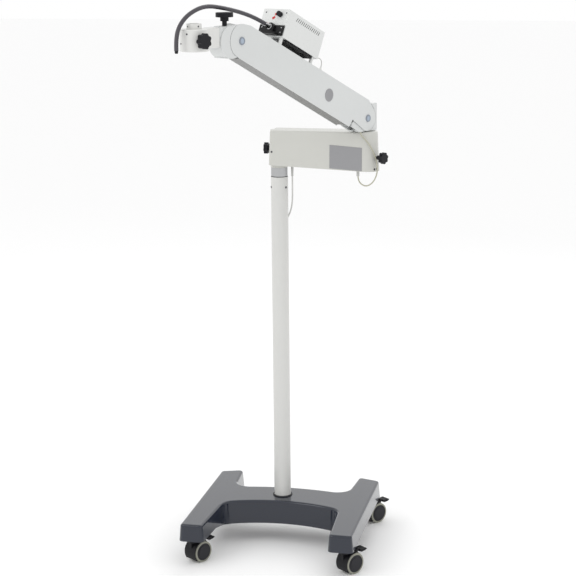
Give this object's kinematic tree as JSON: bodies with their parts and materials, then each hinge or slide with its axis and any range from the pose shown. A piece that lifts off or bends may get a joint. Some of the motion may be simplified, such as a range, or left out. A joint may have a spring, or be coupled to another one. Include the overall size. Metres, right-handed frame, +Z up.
{
  "type": "microscope floor stand",
  "caption": "Wheeled H-base floor stand with a column, swing arm, counterbalanced parallelogram arm, fibre-optic lamp and a clamping sleeve for a microscope head.",
  "frame": {"origin": "column axis at floor level", "axes": "+Z up, +X along the swing arm from the column, -Y towards the front legs"},
  "size_m": [0.675, 1.0836, 1.9495],
  "materials": {
    "base_plastic": "smooth dark blue-grey, slight sheen",
    "cast_black": "black painted",
    "column_paint": "light grey semi-gloss paint",
    "turned_steel": "fine turned",
    "screw_steel": "dark oiled",
    "cleat_white": "satin",
    "swing_paint": "off-white semi-gloss paint",
    "arm_paint": "white-grey semi-gloss paint",
    "lamp_paint": "white satin paint",
    "bush_brass": "turned",
    "supply_case": "folded sheet",
    "knob_black": "moulded, slight sheen",
    "trim_black": "fine texture",
    "pan_grey": "grey satin",
    "cap_blue": "pale blue-grey",
    "spring_steel": "dark",
    "port_black": "black satin",
    "bright_metal": "polished",
    "head_metal": "light satin",
    "guide_sheath": "dark grey, smooth",
    "cord_white": "smooth",
    "cord_cream": "smooth",
    "plug_white": "moulded",
    "hood_black": "moulded",
    "hub_black": "moulded dark grey",
    "tread_grey": "pale grey, smooth",
    "gland_grey": "moulded"
  },
  "bodies": {
    "stand": {"base_housing": "base_plastic", "ballast_frame": "cast_black", "column_socket": "cast_black", "column_tube": "column_paint", "column_journal": "turned_steel", "stand_screws": "screw_steel", "cable_cleats": "cleat_white", "caster_stems": "turned_steel", "mains_cord": "cord_white", "mains_coil": "cord_white", "mains_plug": "plug_white"},
    "caster_front_left": {"caster_hood_front_left": "hood_black"},
    "wheels_front_left": {"caster_wheels_front_left": "hub_black", "caster_treads_front_left": "tread_grey"},
    "pedal_front_left": {"caster_pedal_front_left": "hood_black"},
    "caster_front_right": {"caster_hood_front_right": "hood_black"},
    "wheels_front_right": {"caster_wheels_front_right": "hub_black", "caster_treads_front_right": "tread_grey"},
    "pedal_front_right": {"caster_pedal_front_right": "hood_black"},
    "caster_back_left": {"caster_hood_back_left": "hood_black"},
    "wheels_back_left": {"caster_wheels_back_left": "hub_black", "caster_treads_back_left": "tread_grey"},
    "pedal_back_left": {"caster_pedal_back_left": "hood_black"},
    "caster_back_right": {"caster_hood_back_right": "hood_black"},
    "wheels_back_right": {"caster_wheels_back_right": "hub_black", "caster_treads_back_right": "tread_grey"},
    "pedal_back_right": {"caster_pedal_back_right": "hood_black"},
    "swing_arm": {"swing_housing": "swing_paint", "swing_floor": "swing_paint", "swing_bushes": "bush_brass", "power_supply": "supply_case", "swing_screws": "screw_steel", "cord_glands": "gland_grey", "patch_cord": "cord_cream"},
    "column_knob": {"column_knob": "knob_black"},
    "turret_knob": {"turret_knob": "knob_black"},
    "turret": {"turret_bracket": "arm_paint", "turret_pins": "turned_steel"},
    "balance_arm": {"arm_shell": "arm_paint", "arm_pan": "pan_grey", "bolt_caps": "cap_blue", "balance_spring": "spring_steel", "lamp_housing": "lamp_paint", "lamp_grille": "trim_black", "lamp_module": "supply_case", "guide_bracket": "port_black", "guide_plug": "bright_metal", "lead_plug": "plug_white", "lamp_lead": "cord_white", "light_guide": "guide_sheath"},
    "dimmer": {"dimmer_knob": "knob_black"},
    "tie_rod": {"tie_rod": "turned_steel"},
    "front_block": {"front_block": "arm_paint", "front_pins": "turned_steel", "guide_ferrule": "bright_metal"},
    "head": {"head_arm": "head_metal", "sleeve_collar": "head_metal", "head_screws": "screw_steel"},
    "roll_knob": {"roll_knob": "knob_black"},
    "sleeve_knob": {"sleeve_knob": "knob_black"}
  },
  "joints": [
    {"name": "swivel_front_left", "type": "hinge", "parent": "stand", "child": "caster_front_left", "pos_m": [-0.252, -0.311, 0.08], "axis": [0, 0, 1], "continuous": true},
    {"name": "roll_front_left", "type": "hinge", "parent": "caster_front_left", "child": "wheels_front_left", "pos_m": [-0.23893, -0.29087, 0.0375], "axis": [-0.8387, 0.5446, 0], "continuous": true},
    {"name": "brake_front_left", "type": "hinge", "parent": "caster_front_left", "child": "pedal_front_left", "pos_m": [-0.2264, -0.27158, 0.077], "axis": [-0.8387, 0.5446, 0], "range_deg": [0, 10], "stiffness_Nm_per_rad": 1},
    {"name": "swivel_front_right", "type": "hinge", "parent": "stand", "child": "caster_front_right", "pos_m": [0.288, -0.311, 0.08], "axis": [0, 0, 1], "continuous": true},
    {"name": "roll_front_right", "type": "hinge", "parent": "caster_front_right", "child": "wheels_front_right", "pos_m": [0.30278, -0.29209, 0.0375], "axis": [-0.788, 0.6157, 0], "continuous": true},
    {"name": "brake_front_right", "type": "hinge", "parent": "caster_front_right", "child": "pedal_front_right", "pos_m": [0.31694, -0.27396, 0.077], "axis": [-0.788, 0.6157, 0], "range_deg": [0, 10], "stiffness_Nm_per_rad": 1},
    {"name": "swivel_back_left", "type": "hinge", "parent": "stand", "child": "caster_back_left", "pos_m": [-0.252, 0.185, 0.08], "axis": [0, 0, 1], "continuous": true},
    {"name": "roll_back_left", "type": "hinge", "parent": "caster_back_left", "child": "wheels_back_left", "pos_m": [-0.23309, 0.19978, 0.0375], "axis": [-0.6157, 0.788, 0], "continuous": true},
    {"name": "brake_back_left", "type": "hinge", "parent": "caster_back_left", "child": "pedal_back_left", "pos_m": [-0.21496, 0.21394, 0.077], "axis": [-0.6157, 0.788, 0], "range_deg": [0, 10], "stiffness_Nm_per_rad": 1},
    {"name": "swivel_back_right", "type": "hinge", "parent": "stand", "child": "caster_back_right", "pos_m": [0.288, 0.185, 0.08], "axis": [0, 0, 1], "continuous": true},
    {"name": "roll_back_right", "type": "hinge", "parent": "caster_back_right", "child": "wheels_back_right", "pos_m": [0.30278, 0.20391, 0.0375], "axis": [-0.788, 0.6157, 0], "continuous": true},
    {"name": "brake_back_right", "type": "hinge", "parent": "caster_back_right", "child": "pedal_back_right", "pos_m": [0.31694, 0.22204, 0.077], "axis": [-0.788, 0.6157, 0], "range_deg": [0, 10], "stiffness_Nm_per_rad": 1},
    {"name": "column_swivel", "type": "hinge", "parent": "stand", "child": "swing_arm", "pos_m": [0, 0, 1.4], "axis": [0, 0, 1], "range_deg": [-120, 120], "deforming": ["mains_cord"]},
    {"name": "column_knob_turn", "type": "hinge", "parent": "swing_arm", "child": "column_knob", "pos_m": [-0.038, 0, 1.422], "axis": [-1, 0, 0], "range_deg": [-180, 180]},
    {"name": "turret_swivel", "type": "hinge", "parent": "swing_arm", "child": "turret", "pos_m": [0.3, 0, 1.45], "axis": [0, 0, 1], "range_deg": [-10, 120], "deforming": ["patch_cord"]},
    {"name": "turret_knob_turn", "type": "hinge", "parent": "swing_arm", "child": "turret_knob", "pos_m": [0.36357, -0.0338, 1.401], "axis": [0.8829, -0.4695, 0], "range_deg": [-180, 180]},
    {"name": "arm_lift", "type": "hinge", "parent": "turret", "child": "balance_arm", "pos_m": [0.29172, -0.01598, 1.535], "axis": [-0.8878, 0.4602, 0], "range_deg": [-33, 0]},
    {"name": "tie_rod_turn", "type": "hinge", "parent": "turret", "child": "tie_rod", "pos_m": [0.29172, -0.01598, 1.507], "axis": [-0.8878, 0.4602, 0], "range_deg": [-33, 0]},
    {"name": "front_level", "type": "hinge", "parent": "balance_arm", "child": "front_block", "pos_m": [-0.0025, -0.58359, 1.83448], "axis": [-0.8878, 0.4602, 0], "range_deg": [0, 33], "deforming": ["light_guide"]},
    {"name": "dimmer_turn", "type": "hinge", "parent": "balance_arm", "child": "dimmer", "pos_m": [0.09841, -0.38892, 1.90183], "axis": [-0.4167, -0.804, 0.4242], "range_deg": [0, 270]},
    {"name": "head_roll", "type": "hinge", "parent": "front_block", "child": "head", "pos_m": [-0.04622, -0.66793, 1.85048], "axis": [-0.4602, -0.8878, 0], "range_deg": [-45, 45]},
    {"name": "roll_knob_turn", "type": "hinge", "parent": "front_block", "child": "roll_knob", "pos_m": [-0.02413, -0.62532, 1.89448], "axis": [0, 0, 1], "range_deg": [-180, 180]},
    {"name": "sleeve_knob_turn", "type": "hinge", "parent": "head", "child": "sleeve_knob", "pos_m": [-0.05114, -0.79041, 1.84749], "axis": [0.8878, -0.4602, 0], "range_deg": [-180, 180]}
  ],
  "couplings": [
    {"joint": "tie_rod_turn", "follows": "arm_lift", "ratio": 1},
    {"joint": "front_level", "follows": "arm_lift", "ratio": -1}
  ]
}
